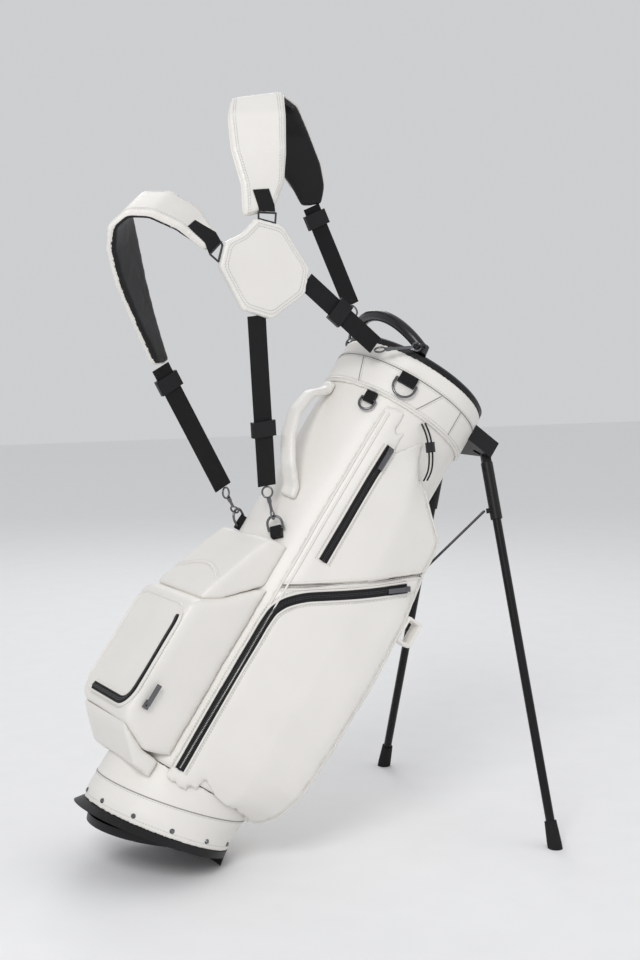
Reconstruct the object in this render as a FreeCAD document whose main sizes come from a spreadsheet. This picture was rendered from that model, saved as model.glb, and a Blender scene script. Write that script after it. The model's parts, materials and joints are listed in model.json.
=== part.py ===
"""Golf stand bag, standing on its two legs and the toe of its base cup.

Millimetres, +Z up, +X towards the legs, mirror plane Y = 0 for the bag itself.
The origin is the centre of the flat toe, where the base cup meets the floor.

The bag frame has its origin at the centre of the base ring. Its x runs to the leg side, its
z runs up the bag, and it is tilted about Y by bag_tilt. An angle "phi" on the bag is measured
from the near side (-y) towards the spine (-x).
"""
import FreeCAD, Part
import math
import os
import Sketcher

Vector = FreeCAD.Vector
Placement = FreeCAD.Placement
Rotation = FreeCAD.Rotation
X_AXIS, Y_AXIS, Z_AXIS = Vector(1, 0, 0), Vector(0, 1, 0), Vector(0, 0, 1)

doc = FreeCAD.newDocument("GolfStandBag")
sheet = doc.addObject("Spreadsheet::Sheet", "Sizes")
parts = []

SIZES = [
    ("bag_tilt", 35, "bag axis from the vertical, degrees"),
    ("base_tilt", 24.5, "base cup axis from the vertical, degrees"),
    ("plate_tilt", 12, "foot plate from the horizontal, degrees"),
    ("ring_x", -93.5, "base ring centre"),
    ("ring_height", 71, "base ring centre above the floor"),
    ("body_radius", 129, "outside of the tubular shell"),
    ("body_length", 868, "base ring to top rim along the bag"),
    ("wall", 3, "shell wall"),
    ("fit_gap", 0.4, "clearance between sewn-on pieces and the shell"),
    ("bend_length", 84, "length over which the sleeve bends from base tilt to bag tilt"),
    ("cup_radius", 125.4, "outside of the base cup"),
    ("cup_rise", 15.5, "base cup wall inside the sleeve"),
    ("cup_wall", 4, "base cup wall and floor"),
    ("cup_floor", 27, "underside of the cup's floor above the ring"),
    ("hem_drop", 3, "sleeve's hem below the ring"),
    ("lip_drop", 15, "lip of the flared flange below the ring"),
    ("lip_radius", 132, "lip of the flared flange"),
    ("lip_shift", 8, "lip's centre, towards the spine"),
    ("toe_length", 23, "flat of the toe that stands on the floor"),
    ("plate_radius", 111, "foot plate"),
    ("plate_thickness", 13, "foot plate"),
    ("plate_setback", 99, "foot plate's middle behind its hinge"),
    ("hinge_reach", 95, "foot plate's hinge in front of the cup's axis"),
    ("hinge_rise", 14, "foot plate's hinge above the ring"),
    ("collar_height", 85, "padded top collar"),
    ("collar_padding", 5, "padding outside the shell"),
    ("rim_height", 12, "top rim above the collar"),
    ("divider_thickness", 12, "padded divider bars"),
    ("divider_depth", 70, "divider bars below the rim"),
    ("handle_span", 210, "top handle, foot to foot"),
    ("handle_rise", 64, "top handle, from its feet to its crown"),
    ("handle_radius", 10, "top handle grip"),
    ("pocket_front", 126, "front edge of the side pockets, bag x"),
    ("pocket_depth", 168, "side pockets, distance of the widest edge from the bag's middle"),
    ("ball_depth", 197, "ball pocket face, distance from the bag axis"),
    ("ball_width", 196, "ball pocket"),
    ("tape_width", 17, "zip tape"),
    ("tape_thickness", 2, "zip tape"),
    ("slider_gap", 0.6, "running clearance of the zip sliders"),
    ("lower_zip_bow", 0.7, "how far the lower tapes bow out along their sliders' travel"),
    ("ring_wire", 4.2, "wire of the D-rings"),
    ("webbing_width", 32, "harness webbing"),
    ("loop_wire", 1.6, "radius of the wire loops on the shoulder pads"),
    ("loop_webbing_width", 28, "short webbing on the shoulder pads"),
    ("webbing_thickness", 2.4, "harness webbing"),
    ("pad_thickness", 13, "shoulder pads"),
    ("centre_pad_thickness", 14, "eight-sided pad"),
    ("pivot_reach", 155, "leg pivots in front of the bag axis"),
    ("pivot_spread", 63, "leg pivots from the mirror plane"),
    ("pivot_height", 838, "leg pivots up the bag"),
    ("leg_diameter", 15.5, "leg tube"),
    ("leg_splay", 211, "sideways reach of a foot from its pivot"),
    ("leg_stride", 5, "forward reach of a foot from its pivot"),
    ("sleeve_length", 131, "moulded sleeve on the leg tube"),
    ("sleeve_diameter", 21, "moulded sleeve"),
    ("foot_length", 46, "rubber foot"),
    ("foot_diameter", 25, "rubber foot"),
    ("pin_diameter", 7, "leg pivot pin"),
    ("plate_pin", 4, "radius of the foot plate's hinge rod"),
    ("pin_gap", 0.3, "running clearance at pins"),
    ("link_drop", 114, "link eye below the leg pivot, along the leg"),
    ("link_wire", 4.5, "link rod"),
    ("link_gap", 2.0, "clearance of the open pivot between link and leg"),
    ("slider_height", 400, "actuator slider up the bag, legs out"),
]
for row, (alias, value, note) in enumerate(SIZES, start=1):
    sheet.set(f"A{row}", str(value))
    sheet.setAlias(f"A{row}", alias)
    sheet.set(f"B{row}", note)
doc.recompute()


def size(alias):
    """The value of a cell of the sheet."""
    return float(sheet.get(alias))


# ---------------------------------------------------------------- helpers

def bind(obj, **cells):
    """Bind properties of an object to expressions on the sheet."""
    for name, expression in cells.items():
        obj.setExpression(name, expression)
    return obj


def keep(obj, label, place=None):
    """Name a finished sub-part, put it in its frame and list it for export."""
    obj.Label = label
    if place:
        place(obj)
    parts.append(obj)
    return obj


def tilt_with(cell):
    """A frame at the base ring's centre, tilted about Y by the given cell."""
    def place(obj):
        turn = Rotation(Y_AXIS, size(cell))
        obj.Placement = Placement(Vector(size("ring_x"), 0, size("ring_height")), turn)
        bind(obj, **{"Placement.Base.x": "Sizes.ring_x",
                     "Placement.Base.z": "Sizes.ring_height",
                     "Placement.Rotation.Angle": f"Sizes.{cell}"})
    return place


in_bag = tilt_with("bag_tilt")
in_base = tilt_with("base_tilt")
bag_frame = Placement(Vector(size("ring_x"), 0, size("ring_height")),
                      Rotation(Y_AXIS, size("bag_tilt")))
base_frame = Placement(bag_frame.Base, Rotation(Y_AXIS, size("base_tilt")))


def shape_part(label, shape, place=in_bag):
    """A sub-part whose shape is computed from the sheet's sizes."""
    obj = doc.addObject("Part::Feature", label)
    obj.Shape = Part.makeCompound(shape.Solids)
    return keep(obj, label, place)


def primitive(kind, label, at=Vector(), turn=Rotation(), **cells):
    """A Part primitive with bound sizes and a place in its parent's frame."""
    obj = doc.addObject(f"Part::{kind}", label)
    obj.Placement = Placement(at, turn)
    return bind(obj, **cells)


def cut(label, base, tool):
    obj = doc.addObject("Part::Cut", label)
    obj.Base, obj.Tool = base, tool
    return obj


def common(label, base, tool):
    obj = doc.addObject("Part::Common", label)
    obj.Base, obj.Tool = base, tool
    return obj


def fuse(label, *shapes):
    obj = doc.addObject("Part::MultiFuse", label)
    obj.Shapes = list(shapes)
    return obj


def mirror(label, source):
    """The same piece on the far side of the mirror plane."""
    obj = doc.addObject("Part::Mirroring", label)
    obj.Source = source
    obj.Normal = Y_AXIS
    return obj


def new_body(label):
    return doc.addObject("PartDesign::Body", label)


def sketch_on(body, plane, corners, name="Outline"):
    """A closed outline whose corners are pairs of expressions, on an origin plane of the body."""
    sketch = body.newObject("Sketcher::SketchObject", f"{body.Name}_{name}")
    origin_plane = next(f for f in body.Origin.OriginFeatures if f.Role == plane)
    sketch.AttachmentSupport = [(origin_plane, "")]
    sketch.MapMode = "FlatFace"
    values = [[float(evaluate(part)) for part in corner] for corner in corners]
    count = len(corners)
    for i in range(count):
        start, end = values[i], values[(i + 1) % count]
        sketch.addGeometry(Part.LineSegment(Vector(*start, 0), Vector(*end, 0)), False)
    for i in range(count):
        sketch.addConstraint(Sketcher.Constraint("Coincident", i, 2, (i + 1) % count, 1))
    for i, corner in enumerate(corners):
        for kind, value, expression in zip(("DistanceX", "DistanceY"), values[i], corner):
            number = sketch.addConstraint(Sketcher.Constraint(kind, -1, 1, i, 1, value))
            sketch.setExpression(f"Constraints[{number}]", expression)
    return sketch


def evaluate(expression):
    """The present value of an expression on the sheet."""
    return sheet.evalExpression(expression.replace("Sizes.", ""))


def revolved(label, corners, place=None):
    """A body turned about its z axis from an outline of (radius, height) expressions."""
    body = new_body(label)
    sketch = sketch_on(body, "XZ_Plane", corners)
    turn = body.newObject("PartDesign::Revolution", f"{label}_turn")
    turn.Profile = sketch
    turn.ReferenceAxis = (sketch, ["V_Axis"])
    turn.Angle = 360
    return keep(body, label, place)


def padded_outline(label, plane, corners, length, place=None):
    """A body extruded evenly both ways from an outline; length is an expression."""
    body = new_body(label)
    pad = body.newObject("PartDesign::Pad", f"{label}_pad")
    pad.Profile = sketch_on(body, plane, corners)
    if hasattr(pad, "SideType"):
        pad.SideType = "Symmetric"
    else:
        pad.Midplane = True
    bind(pad, Length=length)
    if place:
        place(body)
    return body


def on_bag(radius, phi, height):
    """A point of the bag frame at an angle from the near side towards the spine."""
    turn = math.radians(phi)
    return Vector(-radius * math.sin(turn), -radius * math.cos(turn), height)


def unit(vector):
    return Vector(vector).normalize()


def axes(z_dir, x_hint):
    """The rotation that sends z to z_dir and x as near as it can to x_hint."""
    z_dir = unit(z_dir)
    y_dir = unit(z_dir.cross(x_hint))
    return Rotation(y_dir.cross(z_dir), y_dir, z_dir, "ZXY")


def quad(corners):
    return Part.makePolygon(list(corners) + [corners[0]])


def ruled(sections):
    """A solid through closed sections, with straight sides between them."""
    return Part.makeLoft([quad(section) for section in sections], True, True)


def band_sections(edges, thickness):
    """Cross-sections of a strap through pairs of edge points, half its thickness on each side."""
    sections = []
    middles = [(near + far) * 0.5 for near, far in edges]
    for i, (near, far) in enumerate(edges):
        along = middles[min(i + 1, len(edges) - 1)] - middles[max(i - 1, 0)]
        offset = unit(along.cross(far - near)) * (thickness / 2)
        sections.append([near - offset, far - offset, far + offset, near + offset])
    return sections


def band(edges, thickness):
    return ruled(band_sections(edges, thickness))


def rod(start, end, radius):
    return Part.makeCylinder(radius, (end - start).Length, start, end - start)


def hoop(centre, normal, radius, wire):
    return Part.makeTorus(radius, wire / 2, centre, normal)


# ---------------------------------------------------------------- base

def base_cup():
    """Moulded cup: a wall inside the leather sleeve, a raised floor, a flared flange and a toe."""
    radius, wall, floor = size("cup_radius") - 3, size("cup_wall"), size("cup_floor")
    rise, top = size("cup_rise"), -size("hem_drop") - 0.4
    shoulder = radius - 16
    outline = [Vector(radius, 0, top), Vector(radius, 0, rise), Vector(shoulder, 0, floor + wall),
               Vector(0, 0, floor + wall), Vector(0, 0, floor), Vector(shoulder - 2, 0, floor),
               Vector(radius - wall, 0, rise - 2), Vector(radius - wall, 0, top)]
    cup = Part.Face(quad(outline)).revolve(Vector(), Z_AXIS, 360)
    upper = Part.Wire(Part.Circle(Vector(0, 0, top), Z_AXIS, size("cup_radius") + 0.6).toShape())
    lip_centre = Vector(-size("lip_shift"), 0, -size("lip_drop"))
    lower = Part.Wire(Part.Circle(lip_centre, Z_AXIS, size("lip_radius")).toShape())
    flange = Part.makeLoft([upper, lower], True, True)
    toe = Part.makeCylinder(size("cup_radius"), 60, Vector(0, 0, top - 60))
    toe = toe.common(world_box(Vector(-size("toe_length") / 2, -200, -200), 200, 400, 400))
    bore = Part.makeCylinder(radius - wall, 200, Vector(0, 0, top - 200))
    toe = toe.cut(Part.makeCylinder(size("plate_radius") + 3, 200, Vector(-8, 0, top - 200)))
    toe = toe.cut(world_box(Vector(-600, -600, -200), 1200, 1200, 200))
    cup = cup.fuse([flange.cut(bore), toe] + hinge_lugs())
    shape_part("base_cup", cup.removeSplitter(), in_base)


def world_box(corner, length, width, height):
    """A box square to the floor, given in the base frame."""
    box = Part.makeBox(length, width, height, corner)
    box.Placement = base_frame.inverse()
    return box


def hinge_lugs():
    """Two lugs under the cup's floor that hold the foot plate's hinge rod."""
    reach, rise, pin = size("hinge_reach"), size("hinge_rise"), size("plate_pin")
    lugs = []
    for side in (-1, 1):
        inner = side * 40 if side > 0 else side * 40 - 7
        lug = Part.makeBox(16, 7, size("cup_floor") + 1 - rise + 8, Vector(reach - 8, inner, rise - 8))
        hole = Part.makeCylinder(pin + size("pin_gap"), 7, Vector(reach, inner, rise), Y_AXIS)
        lugs.append(lug.cut(hole))
    return lugs


def bent_tube(name, radius_cell, margin):
    """A solid that stands on the cup's axis, then bends from the base tilt to the bag tilt."""
    bend = "(Sizes.bag_tilt - Sizes.base_tilt)"
    straight = "(Sizes.cup_rise + 0.5)"
    places = [  # x, z and turn of each ring in the bag frame
        (f"Sizes.hem_drop * sin({bend} * 1deg)", f"-Sizes.hem_drop * cos({bend} * 1deg)",
         f"-{bend}"),
        (f"-{straight} * sin({bend} * 1deg)", f"{straight} * cos({bend} * 1deg)", f"-{bend}"),
        ("-1.5", "(Sizes.cup_rise + Sizes.bend_length) / 2", f"-{bend} / 2"),
        ("0", "Sizes.bend_length", "0")]
    sections = []
    for step, (x, z, turn) in enumerate(places):
        ring = doc.addObject("Part::Circle", f"{name}_ring{step}")
        bind(ring, Radius=f"Sizes.{radius_cell} + {margin}")
        ring.Placement = Placement(Vector(0, 0, 1), Rotation(Y_AXIS, 1))
        bind(ring, **{"Placement.Base.x": x, "Placement.Base.z": z,
                      "Placement.Rotation.Angle": turn})
        sections.append(ring)
    loft = doc.addObject("Part::Loft", name)
    loft.Sections = sections
    loft.Solid, loft.Ruled = True, True
    return loft


def base_sleeve():
    """Leather sleeve from the cup's flange to the straight part of the bag."""
    outer = bent_tube("sleeve_outer", "cup_radius", 0.6)
    inner = bent_tube("sleeve_inner", "cup_radius", -2.4)
    keep(cut("base_sleeve", outer, inner), "base_sleeve", in_bag)


def base_rivets():
    """Twelve domed rivets through the sleeve into the cup."""
    count, spacing, first = 12, 30, 15
    rivets = []
    for i in range(count):
        phi = first + i * spacing
        outward = on_bag(1, phi, 0)
        seat = outward * (size("cup_radius") + 0.9) + Vector(0, 0, 9)
        rivets.append(Part.makeCone(4.2, 2.6, 2.2, seat, outward))
    shape_part("base_rivets", Part.makeCompound(rivets), in_base)


def foot_plate():
    """Round plate that hangs from a hinge at its front edge, inside the flange."""
    radius, thickness = size("plate_radius"), size("plate_thickness")
    middle = Vector(-size("plate_setback"), 0, -thickness / 2)
    disc = Part.makeCylinder(radius, thickness, middle)
    disc = disc.cut(Part.makeBox(60, 400, 40, Vector(0, -200, -20)))
    disc = disc.fuse(Part.makeCylinder(thickness / 2, 76, Vector(0, -38, 0), Y_AXIS))
    disc = disc.fuse(Part.makeCylinder(size("plate_pin"), 92, Vector(0, -46, 0), Y_AXIS))
    for side in (-1, 1):
        slot = Part.makeBox(20, 9, 40, Vector(-10, side * 43.5 - 4.5, -20))
        pin = Part.makeCylinder(size("plate_pin"), 92, Vector(0, -46, 0), Y_AXIS)
        disc = disc.cut(slot.cut(pin))
    disc.Placement = Placement(plate_hinge(), Rotation(Y_AXIS, size("plate_tilt")))
    shape_part("foot_plate", disc.removeSplitter(), None)


def plate_hinge():
    """The foot plate's hinge line, in the row's own frame."""
    return base_frame.multVec(Vector(size("hinge_reach"), 0, size("hinge_rise")))


# ---------------------------------------------------------------- tube and top

def body_shell():
    """Tubular shell of rolled panels, open at both ends: clubs go in at the top."""
    count = 16
    span = 360 / count
    foot = size("bend_length") + size("fit_gap")
    height = size("body_length") - foot
    outer = Part.makeCylinder(size("body_radius"), height, Vector(0, 0, foot), Z_AXIS, span)
    inner = Part.makeCylinder(size("body_radius") - size("wall"), height, Vector(0, 0, foot))
    panel = outer.cut(inner)
    panels = []
    for i in range(count):
        turned = panel.copy()
        turned.rotate(Vector(), Z_AXIS, i * span)
        panels.append(turned)
    shape_part("body_shell", Part.makeCompound(panels))


def top_collar():
    """Padded leather collar round the top of the shell."""
    bottom, top = "Sizes.body_length - Sizes.collar_height", "Sizes.body_length"
    inside, outside = "Sizes.body_radius + 0.3", "Sizes.body_radius + Sizes.collar_padding"
    revolved("top_collar", [
        (inside, bottom), (f"{outside} - 2", bottom), (outside, f"{bottom} + 6"),
        (outside, f"{top} - 6"), (f"{outside} - 2", top), (inside, top)], in_bag)


def top_rim():
    """Moulded rim with padded divider bars that part the mouth into four."""
    outside, inside = "Sizes.body_radius + Sizes.collar_padding - 1", "Sizes.body_radius - 9"
    body = revolved("rim_ring", [
        (inside, "Sizes.body_length + 0.2"), (outside, "Sizes.body_length + 0.2"),
        (outside, "Sizes.body_length + Sizes.rim_height - 4"),
        (f"{outside} - 5", "Sizes.body_length + Sizes.rim_height"),
        (f"{inside} + 4", "Sizes.body_length + Sizes.rim_height"),
        (inside, "Sizes.body_length + Sizes.rim_height - 4")])
    parts.remove(body)
    bars = []
    for name, turn in (("long_bar", 0), ("cross_bar", 90)):
        bar = primitive("Box", name, turn=Rotation(Z_AXIS, turn),
                        Length="(Sizes.body_radius - Sizes.wall - 1) * 2",
                        Width="Sizes.divider_thickness",
                        Height="Sizes.divider_depth + Sizes.rim_height - 3")
        half_length = "(Sizes.body_radius - Sizes.wall - 1)"
        along, across = ("x", "y") if turn == 0 else ("y", "x")
        sign = "-" if turn == 0 else ""
        bind(bar, **{f"Placement.Base.{along}": f"-{half_length}",
                     f"Placement.Base.{across}": f"{sign}Sizes.divider_thickness / 2",
                     "Placement.Base.z": "Sizes.body_length - Sizes.divider_depth"})
        bars.append(bar)
    keep(fuse("top_rim", body, *bars), "top_rim", in_bag)


SHOE_RADIUS, EYE_RADIUS, EYE_WIRE = 12, 6, 4


def handle_foot(side):
    """Underside of a shoe of the top handle, on the rim."""
    across = side * size("handle_span") / 2
    along = -math.sqrt((size("body_radius") + 1) ** 2 - across ** 2)
    return Vector(along, across, size("body_length") + size("rim_height") + 0.3)


def top_handle():
    """Moulded grab handle that bows up from the spine side of the rim, with an eye at each foot."""
    grip, rise = size("handle_radius"), size("handle_rise")
    near, far = handle_foot(-1), handle_foot(1)
    lift = Z_AXIS * 8
    crown = (near + far) * 0.5 + lift + unit(Vector(-0.87, 0, 0.49)) * rise
    path = Part.Wire(Part.Arc(near + lift, crown, far + lift).toShape())
    first = path.Edges[0].tangentAt(path.Edges[0].FirstParameter)
    handle = path.makePipe(Part.Face(Part.Wire(Part.Circle(near + lift, first, grip).toShape())))
    for side, foot in ((-1, near), (1, far)):
        eye, hole = shoe_eye(side)
        handle = handle.fuse([Part.makeCone(SHOE_RADIUS, grip, 16, foot, Z_AXIS),
                              hoop(eye, hole, EYE_RADIUS, EYE_WIRE)])
    above = Part.makeBox(400, 400, 200, Vector(-200, -200, near.z))
    shape_part("top_handle", handle.common(above).removeSplitter())


def carry_handle():
    """Padded leather carry handle on the spine, bowed clear of the shell."""
    half, thickness = 15, 11
    seat = size("body_radius") + size("fit_gap") + thickness / 2
    stations = [(seat, 68, 560), (seat + 1, 69, 578), (163, 72, 605), (178, 78, 645), (179, 84, 690),
                (163, 90, 735), (seat + 1, 93, 760), (seat, 94, 776)]
    edges = []
    for radius, phi, height in stations:
        sideways = Vector(-math.cos(math.radians(phi)), math.sin(math.radians(phi)), 0)
        middle = on_bag(radius, phi, height)
        edges.append((middle - sideways * half, middle + sideways * half))
    strap = band(edges, thickness)
    hollow = Part.makeCylinder(size("body_radius") + size("fit_gap"), 1000)
    shape_part("carry_handle", strap.cut(hollow))


# ---------------------------------------------------------------- pockets

STATIONS = [  # height up the bag, swell, share of the front edge's reach
    (66, 0.10, 0.70), (80, 0.30, 0.88), (105, 0.60, 0.97), (145, 0.86, 1), (250, 1, 1),
    (380, 1.04, 1), (470, 1, 1), (585, 0.70, 1), (630, 0.66, 1), (655, 0.62, 0.75),
    (703, 0.50, 0.36), (778, 0.12, 0.06)]


def side_outline(swell, reach):
    """Outline of a side pocket across the bag, from its back seam to its front gusset."""
    front, deep, shell = size("pocket_front"), size("pocket_depth"), size("body_radius")
    low = min(1, swell / 0.30)
    edge = shell * 0.62 + (deep - shell * 0.62) * swell
    bulge = shell * 0.94 + (deep - shell * 0.94) * swell * 0.8
    return [on_bag(shell - 6, 41, 0), on_bag(shell + 1 + 7 * low, 39, 0),
            on_bag(shell + 1 + 9 * low, 26, 0), Vector(front * 0.25 * reach, -bulge, 0),
            Vector(front * 0.80 * reach, -edge - 2, 0), Vector(front * reach, -edge, 0),
            Vector(front * 0.985 * reach, 10 - edge, 0),
            Vector(front * 0.86 * max(reach, 0.5), -shell * 0.50, 0), Vector(0, -shell * 0.5, 0)]


def side_station(height):
    """Swell and reach at any height, on straight lines between the stations."""
    for (low, *start), (high, *end) in zip(STATIONS, STATIONS[1:]):
        if height <= high:
            share = (height - low) / (high - low)
            return [a + (b - a) * share for a, b in zip(start, end)]


def side_sections():
    """Cross-sections of the side pockets' volume, from the hem to the collar."""
    return [[point + Z_AXIS * height for point in side_outline(swell, reach)]
            for height, swell, reach in STATIONS]


def side_surface(x, height):
    """The point of the side pockets' outer face at a given x and height, and its outward normal."""
    outline = side_outline(*side_station(height))
    for before, after in zip(outline[1:], outline[2:]):
        if before.x <= x <= after.x:
            share = (x - before.x) / (after.x - before.x)
            point = before + (after - before) * share
            along = unit(after - before)
            return Vector(point.x, point.y, height), Vector(along.y, -along.x, 0)


def split_tool(gap_side):
    """Half-space above or below the sloping line that parts the two side pockets."""
    slope, height_at_axis, half_gap = 36, 478, 0.6
    tool = Part.makeBox(900, 500, 900, Vector(-450, -500, 0 if gap_side > 0 else -900))
    tool.translate(Vector(0, 0, gap_side * half_gap))
    tool.rotate(Vector(), Y_AXIS, -slope)
    tool.translate(Vector(0, 0, height_at_axis))
    return tool


def side_pockets():
    """Lower apparel pocket and upper wedge-shaped pocket, near and far."""
    volume = ruled(side_sections())
    bag = Part.makeCylinder(size("body_radius") + size("fit_gap"), size("body_length"))
    volume = volume.cut(bag)
    zips(volume)
    for level, side in (("lower", -1), ("upper", 1)):
        near = shape_part(f"near_{level}_pocket", volume.common(split_tool(side)))
        far = mirror(f"far_{level}_pocket", near_source(near))
        keep(far, f"far_{level}_pocket", in_bag)


def near_source(obj):
    """A copy of a near piece in the bag frame's own coordinates, to be mirrored."""
    source = doc.addObject("Part::Feature", f"{obj.Name}_source")
    shape = obj.Shape.copy()
    shape.Placement = Placement()
    source.Shape = shape
    return source


def spine_pocket(label, corners, width):
    """A pocket on the spine: a side outline extruded across, hollowed for the shell."""
    body = padded_outline(f"{label}_block", "XZ_Plane", corners, width)
    bag = primitive("Cylinder", f"{label}_bag", Radius="Sizes.body_radius + Sizes.fit_gap",
                    Height="Sizes.body_length")
    keep(cut(label, body, bag), label, in_bag)


def spine_pockets():
    face = "-Sizes.ball_depth"
    spine_pocket("ball_pocket", [
        ("-90", "100"), ("-Sizes.body_radius - 4", "88"), (f"{face} + 10", "112"), (face, "126"),
        (face, "318"), (f"{face} + 9", "330"), ("-Sizes.body_radius - 22", "352"), ("-90", "410")],
        "Sizes.ball_width")
    spine_pocket("valuables_pocket", [
        ("-92", "411.5"), ("-Sizes.body_radius - 22", "353.5"), (f"{face} + 12", "332"),
        (f"{face} + 16", "352"), ("-Sizes.body_radius - 20", "440"),
        ("-Sizes.body_radius - 2", "478"), ("-92", "486")], "Sizes.ball_width - 18")
    spine_pocket("grab_flap", [
        ("-100", "56"), ("-Sizes.body_radius - 4", "60"), (f"{face} + 22", "96"),
        (f"{face} + 10", "110.5"), ("-Sizes.body_radius - 4", "86.5"), ("-100", "84")],
        "Sizes.ball_width - 16")


# ---------------------------------------------------------------- zips

ZIP_LIFT = 0.8
LOWER_ZIP = [(-76, 84), (-76, 105), (-76, 145), (-76, 250), (-76, 350), (-74, 380), (-66, 400),
             (-55, 414), (-40, 428), (0, 457), (31.5, 480), (70, 508), (100, 530)]
UPPER_ZIP = [(-49, 488), (-49, 585), (-49, 630), (-49, 655), (-47, 703), (-46, 716)]
LOWER_SLIDE, UPPER_SLIDE = ((60, 501), (96, 527)), ((-49, 500), (-46, 704))


def tape(line):
    """A zip tape that follows the outer face of the side pockets along points (x, height)."""
    half, edges = size("tape_width") / 2, []
    points = [side_surface(*point) for point in line]
    for i, (point, normal) in enumerate(points):
        before, after = points[max(i - 1, 0)][0], points[min(i + 1, len(points) - 1)][0]
        across = unit((after - before).cross(normal))
        lifted = point + normal * (ZIP_LIFT + size("tape_thickness") / 2)
        edges.append((lifted - across * half, lifted + across * half))
    return band(edges, size("tape_thickness"))


def slide_line(ends):
    """Start, end and normal of a slider's straight stretch on the side pockets."""
    (start, _), (end, normal) = [side_surface(*point) for point in ends]
    return start, end, normal


def pulled_slider(out, along, seat):
    """A zip slider with its pull lying along the tape, on the point seat."""
    body = Part.makeBox(14, 9, 5, Vector(-7, -4.5, 0))
    bail = Part.makeBox(6, 3, 3, Vector(-3, -1.5, 5))
    pull = Part.makeBox(36, 8, 2.2, Vector(0, -4, 5.2))
    slider = body.fuse([bail, pull])
    slider.Placement = Placement(seat, axes(out, along))
    return slider


def zips(pocket_volume):
    """Zip tapes on both sides and the spine, and the five sliders on them."""
    tapes = []
    lift = size("tape_thickness") + ZIP_LIFT + size("slider_gap")
    for level, line, ends, gap in (
            ("lower", LOWER_ZIP, LOWER_SLIDE, lift + size("lower_zip_bow")),
            ("upper", UPPER_ZIP, UPPER_SLIDE, lift)):
        near = tape(line).cut(pocket_volume)
        tapes += [near, near.mirror(Vector(), Y_AXIS)]
        start, end, normal = slide_line(ends)
        slider = pulled_slider(normal, start - end, end + normal * gap)
        near_slider = shape_part(f"near_{level}_zip_slider", slider)
        far_slider = mirror(f"far_{level}_zip_slider", near_source(near_slider))
        keep(far_slider, f"far_{level}_zip_slider", in_bag)
    depth, half, thick = size("ball_depth"), size("ball_width") / 2, size("tape_thickness")
    for side in (-1, 1):
        y = half + ZIP_LIFT if side > 0 else -half - ZIP_LIFT - thick
        tapes.append(Part.makeBox(size("tape_width"), thick, 180, Vector(12 - depth, y, 130)))
    shape_part("zip_tapes", Part.makeCompound(tapes))
    seat = Vector(12 - depth + size("tape_width") / 2, -half - ZIP_LIFT - thick - size("slider_gap"), 150)
    shape_part("ball_zip_slider", pulled_slider(-Y_AXIS, Z_AXIS, seat))


# ---------------------------------------------------------------- rings and tabs

RINGS = {  # angle round the bag, height, lift of the bar, bow radius, throat
    "near_d_ring": (61, 500, 7.5, 13, 9), "far_d_ring": (119, 500, 7.5, 13, 9),
    "top_d_ring": (33, 822, 5, 19, 9), "towel_ring": (51, 768, 5, 13, 7)}
HOOK_WIRE, HOOK_EYE = 3.2, 9


def tab_seat(name):
    """Where a ring's tab is sewn on, and the way out from the bag there."""
    phi, height = RINGS[name][:2]
    lift = size("body_radius") + size("fit_gap")
    if name == "top_d_ring":
        lift += size("collar_padding")
    return on_bag(lift, phi, height), on_bag(1, phi, 0)


def eye_centre(name):
    """Centre of the ring at the end of a webbing run, which a snap hook hangs from."""
    start, end = RUNS[name]
    return end + unit(end - start) * (HOOK_EYE + HOOK_WIRE / 2 + 0.4)


def ring_axes(name):
    """Hinge point, hinge direction and pull direction of a ring."""
    seat, out = tab_seat(name)
    hinge = seat + out * RINGS[name][2]
    hooked_to = {"near_d_ring": "centre_webbing", "far_d_ring": "lower_webbing"}.get(name)
    pull = unit(eye_centre(hooked_to) - hinge) if hooked_to else unit(-Z_AXIS + out * 0.12)
    return hinge, unit(out.cross(pull)), pull


def d_ring(name):
    """A bar in the tab and a bow that hangs from it."""
    wire = size("ring_wire") / 2
    bow, throat = RINGS[name][3:]
    hinge, sideways, pull = ring_axes(name)
    bow_centre = hinge + pull * throat
    ends = [hinge + sideways * bow, hinge - sideways * bow]
    knees = [bow_centre + sideways * bow, bow_centre - sideways * bow]
    loop = hoop(bow_centre, sideways.cross(pull), bow, size("ring_wire"))
    half = Part.makeBox(200, 200, 100, Vector(-100, -100, 0))
    half.Placement = Placement(bow_centre, axes(pull, sideways))
    ring = loop.common(half).fuse([
        rod(ends[0], knees[0], wire), rod(ends[1], knees[1], wire), rod(ends[0], ends[1], wire),
        Part.makeSphere(wire, ends[0]), Part.makeSphere(wire, ends[1])])
    shape_part(name, ring)


def ring_tabs():
    """Webbing tabs that hold the rings: a loop of webbing round each bar."""
    tabs = []
    above, below = 14, 5
    for name in RINGS:
        seat, out = tab_seat(name)
        hinge, sideways, pull = ring_axes(name)
        half = RINGS[name][3] - size("ring_wire") / 2 - 1.5
        thick = RINGS[name][2] + size("ring_wire") / 2 + 1.5
        block = Part.makeBox(half * 2, thick, above + below, Vector(-half, 0, -above))
        block.Placement = Placement(seat, Rotation(sideways, out, sideways.cross(out), "ZXY"))
        clear = rod(hinge - sideways * 60, hinge + sideways * 60, size("ring_wire") / 2 + 0.35)
        tabs.append(block.cut(clear))
    shape_part("ring_tabs", Part.makeCompound(tabs))


# ---------------------------------------------------------------- stand

def leg_geometry(side):
    """Pivot, directions out and folded, and hinge axis of a leg, in the bag frame."""
    pivot = Vector(size("pivot_reach"), side * size("pivot_spread"), size("pivot_height"))
    world = bag_frame.multVec(pivot)
    reach = Vector(size("leg_stride"), side * size("leg_splay"), -world.z)
    out = unit(bag_frame.Rotation.inverted().multVec(reach))
    axis = unit(out.cross(-Z_AXIS))
    return pivot, out, axis, reach.Length


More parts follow.
